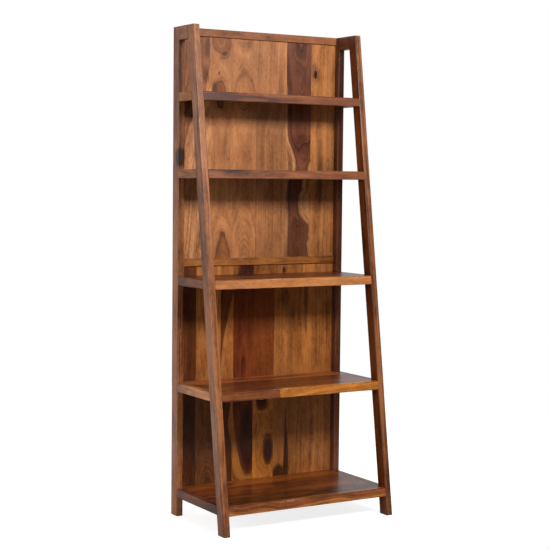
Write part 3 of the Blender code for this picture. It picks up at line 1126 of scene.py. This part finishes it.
# Most lower boards are darker in the lowest bay, and some at their top ends: partly their own
# tone, partly painted shade where less light falls.
LOWER_GRAINS = (
    plain(
        Tone.WALNUT, 11.0, sway=((0.0, -0.02),),
        rise=((-0.4, 0.02), (-0.2, 0.05), (0.1, 0.03), (0.4, 0.05)),
        shade=((-0.4, 0.75), (-0.06, 0.75), (0.0, 1.05), (0.4, 1.05)),
        knots=(Knot(-0.005, -0.13, 0.01, 0.03, 0.005, 0.4, 0.6),),
    ),
    plain(
        Tone.OCHRE, 12.0, rise=((-0.4, 0.03), (-0.2, 0.06), (0.4, 0.03)), contrast=0.8,
        shade=((-0.4, 0.42), (-0.06, 0.5), (0.0, 1.0), (0.4, 1.25)),
    ),
    Grain(
        Tone.WALNUT, Tone.OCHRE, 13.0,
        edges=(
            (-0.4, -0.3, 0.0225), (-0.265, -0.3, 0.0204), (-0.189, -0.3, 0.0071),
            (-0.108, -0.3, 0.0148), (0.0, -0.3, -0.03), (0.053, -0.3, -0.0244),
            (0.105, -0.3, -0.019), (0.141, -0.3, -0.0126), (0.192, -0.3, -0.0006),
            (0.243, -0.3, 0.0116), (0.287, -0.3, 0.0237), (0.305, -0.3, 0.026),
            (0.35, -0.3, -0.03), (0.4, -0.3, -0.04),
        ),
        heart_radius=0.25, outline=0.2, contrast=0.8, wander=0.001,
        shade=((-0.4, 0.75), (-0.06, 0.75), (0.0, 1.1), (0.4, 1.1)),
    ),
    Grain(
        Tone.MAROON, Tone.HONEY, 14.0,
        edges=(
            (-0.4, 0.04, 0.01), (-0.39, 0.033, 0.02), (-0.381, 0.02, 0.03),
            (-0.376, 0.0121, 0.0345), (-0.364, 0.003, 0.0421), (-0.352, -0.0052, 0.05),
            (-0.305, -0.0185, 0.055), (-0.237, -0.0319, 0.06), (-0.176, -0.0392, 0.06),
            (-0.113, -0.0457, 0.06), (0.0, -0.06, 0.06), (0.15, -0.055, 0.064),
            (0.33, -0.06, 0.06), (0.37, -0.024, 0.06), (0.4, -0.02, 0.06),
        ),
        heart_radius=0.063, rim=0.0016, outline=0.4, wander=0.0015,
        shade=((-0.4, 0.62), (-0.06, 0.6), (0.0, 1.0), (0.34, 0.9), (0.37, 0.6), (0.4, 0.6)),
        knots=(
            Knot(0.005, 0.18, 0.018, 0.08, 0.006, 0.0),
            Knot(0.018, -0.255, 0.034, 0.13, 0.0, 0.65, 0.3),
        ),
    ),
    Grain(
        Tone.RUSSET, Tone.HONEY, 15.0,
        edges=(
            (-0.4, 0.04, 0.0), (-0.365, 0.03, 0.018), (-0.352, 0.02, 0.029), (-0.34, 0.01, 0.037),
            (-0.32, 0.004, 0.0425), (-0.295, 0.0019, 0.0445), (-0.26, 0.006, 0.04),
            (-0.245, 0.012, 0.033), (-0.238, 0.0205, 0.026), (-0.225, 0.028, 0.01),
            (-0.16, 0.015, -0.02), (-0.144, -0.01, -0.003), (-0.109, -0.0304, 0.0172),
            (-0.09, -0.034, 0.022), (-0.06, -0.04, 0.03), (0.0, -0.058, 0.056),
            (0.33, -0.058, 0.056), (0.36, -0.01, 0.01), (0.4, 0.01, -0.01),
        ),
        heart_radius=0.06, rim=0.0016, outline=0.5, contrast=0.8, wander=0.0012,
        shade=((-0.4, 0.9), (-0.06, 0.9), (0.0, 0.88), (0.33, 0.82), (0.4, 0.7)),
        knots=(
            Knot(0.0233, -0.295, 0.02, 0.055, 0.0, 0.8, 0.2),
            Knot(-0.006, -0.095, 0.024, 0.042, 0.0, 0.72, 0.2),
        ),
    ),
    plain(
        Tone.OCHRE, 16.0, sway=((0.0, 0.05),), rise=((0.0, 0.02),), contrast=0.8,
        shade=((-0.4, 0.72), (-0.06, 0.72), (0.0, 1.0), (0.4, 1.0)),
        knots=(
            Knot(-0.021, 0.377, 0.008, 0.012, 0.006, 0.85, 0.4),
            Knot(-0.011, 0.272, 0.018, 0.04, 0.006, 0.5, 0.6),
            Knot(-0.006, -0.395, 0.011, 0.17, 0.003, 0.85, 0.25),
            Knot(-0.008, -0.23, 0.004, 0.07, 0.0, 0.7, 0.5),
            Knot(-0.04, -0.395, 0.032, 0.045, 0.0, 0.85, 0.25),
        ),
    ),
    plain(
        Tone.OCHRE, 17.0, sway=((0.0, -0.09),), contrast=0.8,
        shade=((-0.4, 0.88), (-0.06, 0.88), (0.0, 1.1), (0.4, 1.2)),
        knots=(
            Knot(-0.052, 0.26, 0.008, 0.1, 0.003, 0.6, 0.5),
            Knot(-0.05, 0.16, 0.003, 0.04, 0.0, 0.6, 0.5),
        ),
    ),
)
# Material slots of the boards in the record, from left to right.
PANEL_SLOTS = {
    "upper": ("chestnut", "tan", "honey", "tan", "umber", "amber"),
    "lower": ("walnut", "chestnut", "amber", "walnut", "chestnut", "honey", "chestnut"),
}
PANEL_GRAINS = {"upper": UPPER_GRAINS, "lower": LOWER_GRAINS}
BACK_RAIL_GRAINS = {
    "bottom": plain(Tone.COCOA, 21.0),
    "mid": plain(Tone.OCHRE, 22.0, contrast=1.3),
    "top": plain(Tone.CHESTNUT, 23.0, contrast=1.5),
}
LEFT_RAIL_TONES = (Tone.UMBER, Tone.APRICOT, Tone.COCOA, Tone.HONEY, Tone.HONEY, Tone.CHESTNUT)
SIDE_GRAINS = {
    Side.LEFT: {
        "rear": Grain(
            Tone.CHESTNUT, Tone.COPPER, 31.0, contrast=1.4, mottle=1.3,
            knots=(Knot(-0.02, 0.415, 0.018, 0.03, 0.004, 0.85, 0.4),),
        ),
        # Darker towards its foot: painted shade.
        "front": plain(
            Tone.CHESTNUT, 32.0, contrast=1.6, mottle=1.3,
            shade=((-0.87, 0.78), (-0.3, 0.9), (0.2, 1.0), (0.87, 1.0)),
        ),
        "rails": [plain(tone, 33.0 + i, contrast=1.5) for i, tone in enumerate(LEFT_RAIL_TONES)],
    },
    Side.RIGHT: {
        # Its dark tone is partly painted shade, for an inner face that lies in shadow.
        "rear": plain(Tone.UMBER, 41.0, contrast=1.2),
        # Darker towards its foot: painted shade.
        "front": Grain(
            Tone.RUSSET, Tone.CHESTNUT, 42.0, sway=((0.0, 0.01),), rise=((0.0, 0.02),),
            heart_radius=0.033, contrast=1.6, mottle=1.3, wander=0.004,
            shade=((-0.87, 0.66), (-0.1, 0.8), (0.5, 0.95), (0.87, 1.0)),
        ),
        "rails": [plain(Tone.UMBER, 43.0 + i) for i in range(6)],
    },
}
# The tops of the lowest three shelves show, so their figure is bold.
BOLD = {"contrast": 1.9, "mottle": 1.5}
# Shelf 2's top boards are paler at the ends and darker in the middle: painted reflection.
PAINTED_REFLECTION_ENDS = ((-0.33, 1.2), (0.0, 0.84), (0.33, 1.05))
SHELF_GRAINS = {
    1: (
        Grain(
            Tone.COCOA, Tone.OCHRE, 51.0,
            edges=(
                (-0.325, 0.006, 0.08), (-0.27, -0.002, 0.08), (-0.2, 0.002, 0.08),
                (-0.1, -0.008, 0.08), (0.0, -0.002, 0.08), (0.12, 0.003, 0.08),
                (0.2, -0.006, 0.08), (0.325, -0.001, 0.08),
            ),
            heart_radius=0.06, face=0.01, ring=0.005, contrast=1.3, wander=0.003,
        ),
        top_boards(52.0, (Tone.WALNUT, Tone.RUSSET, Tone.MAROON, Tone.SIENNA), **BOLD),
    ),
    2: (
        Grain(
            Tone.COCOA, Tone.HONEY, 56.0,
            sway=((-0.325, 0.0), (-0.094, 0.0), (-0.092, 0.2), (0.325, 0.25)),
            rise=((0.0, 0.01),), heart_radius=0.1, outline=0.2,
        ),
        top_boards(57.0, (Tone.RUSSET, Tone.MAROON, Tone.COPPER), shade=PAINTED_REFLECTION_ENDS, **BOLD),
    ),
    3: (
        plain(Tone.APRICOT, 61.0, contrast=0.7, mottle=0.6),
        top_boards(62.0, (Tone.MAROON, Tone.RUSSET, Tone.MAROON), **BOLD),
    ),
    4: (
        plain(
            Tone.COCOA, 65.0, contrast=1.7,
            knots=(Knot(0.004, -0.2, 0.012, 0.05, 0.004, 0.5, 0.6),),
        ),
        top_boards(66.0, (Tone.COCOA, Tone.RUSSET)),
    ),
    5: (
        plain(Tone.COCOA, 68.0, contrast=1.7),
        top_boards(69.0, (Tone.COCOA, Tone.RUSSET)),
    ),
}


# -------------------------------------------------------------------- studio
@dataclass(frozen=True)
class Softbox:
    """A soft rectangular lamp: its place, width and height, and its aim."""

    name: str
    place: Vector
    size: tuple[float, float]
    watts: float
    aim: Vector = Vector((0.0, 0.0, 0.85))

    def hang(self) -> None:
        """Put the lamp in the scene."""
        light = bpy.data.lights.new(self.name, "AREA")
        light.shape = "RECTANGLE"
        light.size, light.size_y = self.size
        light.energy = self.watts
        item = bpy.data.objects.new(self.name, light)
        item.location = self.place
        way = self.aim - self.place
        item.rotation_euler = way.to_track_quat("-Z", "Y").to_euler()
        bpy.context.scene.collection.objects.link(item)


SOFTBOXES = (
    Softbox("key_softbox", Vector((0.2, -3.4, 2.9)), (1.4, 0.8), 180.0),
    Softbox("side_softbox", Vector((2.3, -3.8, 2.6)), (1.4, 1.2), 8.0),
    Softbox("left_softbox", Vector((-4.2, -1.2, 1.6)), (1.2, 1.6), 75.0),
    Softbox(
        "low_softbox", Vector((-0.7, -1.7, 0.16)), (0.8, 0.2), 7.5, Vector((0.05, 0.18, 0.2))
    ),
)


@dataclass(frozen=True)
class Studio:
    """Pale floor, white surroundings, soft lights and the camera."""

    camera_place: Vector = Vector((-2.61998, -4.29160, 1.21413))
    yaw: float = math.radians(-31.0155)
    pitch: float = math.radians(-3.8895)
    roll: float = math.radians(0.5855)
    lens: float = 91.787
    sensor: float = 36.0
    floor_place: Vector = Vector((0.3, 1.2, 0.0))
    floor_radius: float = 2.0
    floor_steps: int = 96
    floor_paint: str = "#BDBCBA"
    # What the floor adds to the light: as the camera sees it, and as the
    # bookcase does, in front of it and behind it.
    floor_seen: float = 0.80
    floor_glow: tuple[float, float] = (0.04, 1.0)
    # Strength of the white room: ahead of the bookcase at floor level and
    # overhead, and behind it.
    room_ahead: tuple[float, float] = (0.01, 0.10)
    room_behind: float = 0.7

    def floor(self) -> None:
        """Round pale floor that shows only a faint shadow."""
        disc = bmesh.new()
        bmesh.ops.create_circle(
            disc, cap_ends=True, radius=self.floor_radius, segments=self.floor_steps
        )
        mesh = bpy.data.meshes.new("floor")
        disc.to_mesh(mesh)
        disc.free()
        material = bpy.data.materials.new("matt_white_floor")
        material.use_nodes = True
        tree = material.node_tree
        add = partial(add_node, tree)
        place = add("ShaderNodeTexCoord", {}, {}, "Object")
        away = add(SPLIT, {}, {0: place}, "Y")
        near, far = self.floor_glow
        ends = {"Value": away, "From Min": -0.9, "From Max": 0.7, "To Min": near, "To Max": far}
        glow = add(MAP_RANGE, SMOOTH, ends)
        seen = add("ShaderNodeLightPath", {}, {}, "Is Camera Ray")
        glow = add(MIX, {"data_type": "FLOAT"}, {0: seen, 2: glow, 3: self.floor_seen})
        shader = tree.nodes["Principled BSDF"]
        shader.inputs["Base Color"].default_value = linear(self.floor_paint)
        shader.inputs["Roughness"].default_value = 0.9
        shader.inputs["Emission Color"].default_value = WHITE
        tree.links.new(glow, shader.inputs["Emission Strength"])
        mesh.materials.append(material)
        item = bpy.data.objects.new("floor", mesh)
        item.location = self.floor_place
        bpy.context.scene.collection.objects.link(item)

    def surroundings(self) -> None:
        """White studio, bright behind the bookcase and dim in front of it."""
        world = bpy.data.worlds.new("studio")
        bpy.context.scene.world = world
        world.use_nodes = True
        tree = world.node_tree
        tree.nodes.clear()
        add = partial(add_node, tree)
        share = {"data_type": "FLOAT"}
        way = add("ShaderNodeTexCoord", {}, {}, "Generated")
        split = add(SPLIT, {}, {0: way}).node.outputs
        low, high = self.room_ahead
        ends = {"From Min": -0.1, "From Max": 0.5, "To Min": low, "To Max": high}
        front = add(MAP_RANGE, SMOOTH, {"Value": split["Z"], **ends})
        ends = {"Value": split["Y"], "From Min": -0.1, "From Max": 0.45}
        behind = add(MAP_RANGE, SMOOTH, ends)
        glow = add(MIX, share, {0: behind, 2: front, 3: self.room_behind})
        seen = add("ShaderNodeLightPath", {}, {}, "Is Camera Ray")
        strength = add(MIX, share, {0: seen, 2: glow, 3: 1.0})
        back = add("ShaderNodeBackground", {}, {"Color": WHITE, "Strength": strength})
        add("ShaderNodeOutputWorld", {}, {"Surface": back})

    def camera(self) -> None:
        """Camera at the front left, slightly above the middle shelf."""
        yaw, pitch, roll = self.yaw, self.pitch, self.roll
        level = Vector((math.cos(yaw), math.sin(yaw), 0.0))
        ahead = Vector((-math.sin(yaw), math.cos(yaw), 0.0))
        forward = math.cos(pitch) * ahead + math.sin(pitch) * Z_AXIS
        upright = level.cross(forward)
        right = math.cos(roll) * level + math.sin(roll) * upright
        up = math.cos(roll) * upright - math.sin(roll) * level
        turn = Matrix((right, up, -forward)).transposed()
        data = bpy.data.cameras.new("camera")
        data.lens = self.lens
        data.sensor_width = self.sensor
        item = bpy.data.objects.new("camera", data)
        item.matrix_world = Matrix.Translation(self.camera_place) @ turn.to_4x4()
        bpy.context.scene.collection.objects.link(item)
        bpy.context.scene.camera = item

    def build(self) -> None:
        """Set up the studio."""
        self.floor()
        self.surroundings()
        for softbox in SOFTBOXES:
            softbox.hang()
        self.camera()
        bpy.context.scene.view_settings.view_transform = "Standard"


def main() -> None:
    """Build the bookcase and the studio round it."""
    logging.basicConfig(level=logging.INFO, format="%(message)s")
    shop = Workshop(Setting(), BarMill(), LacqueredSheesham())
    for side in Side:
        SideFrame(side, shop).build()
    Back(shop).build()
    for number in SHELF_GRAINS:
        Shelf(number, shop).build()
    Studio().build()


if __name__ == "__main__":
    main()
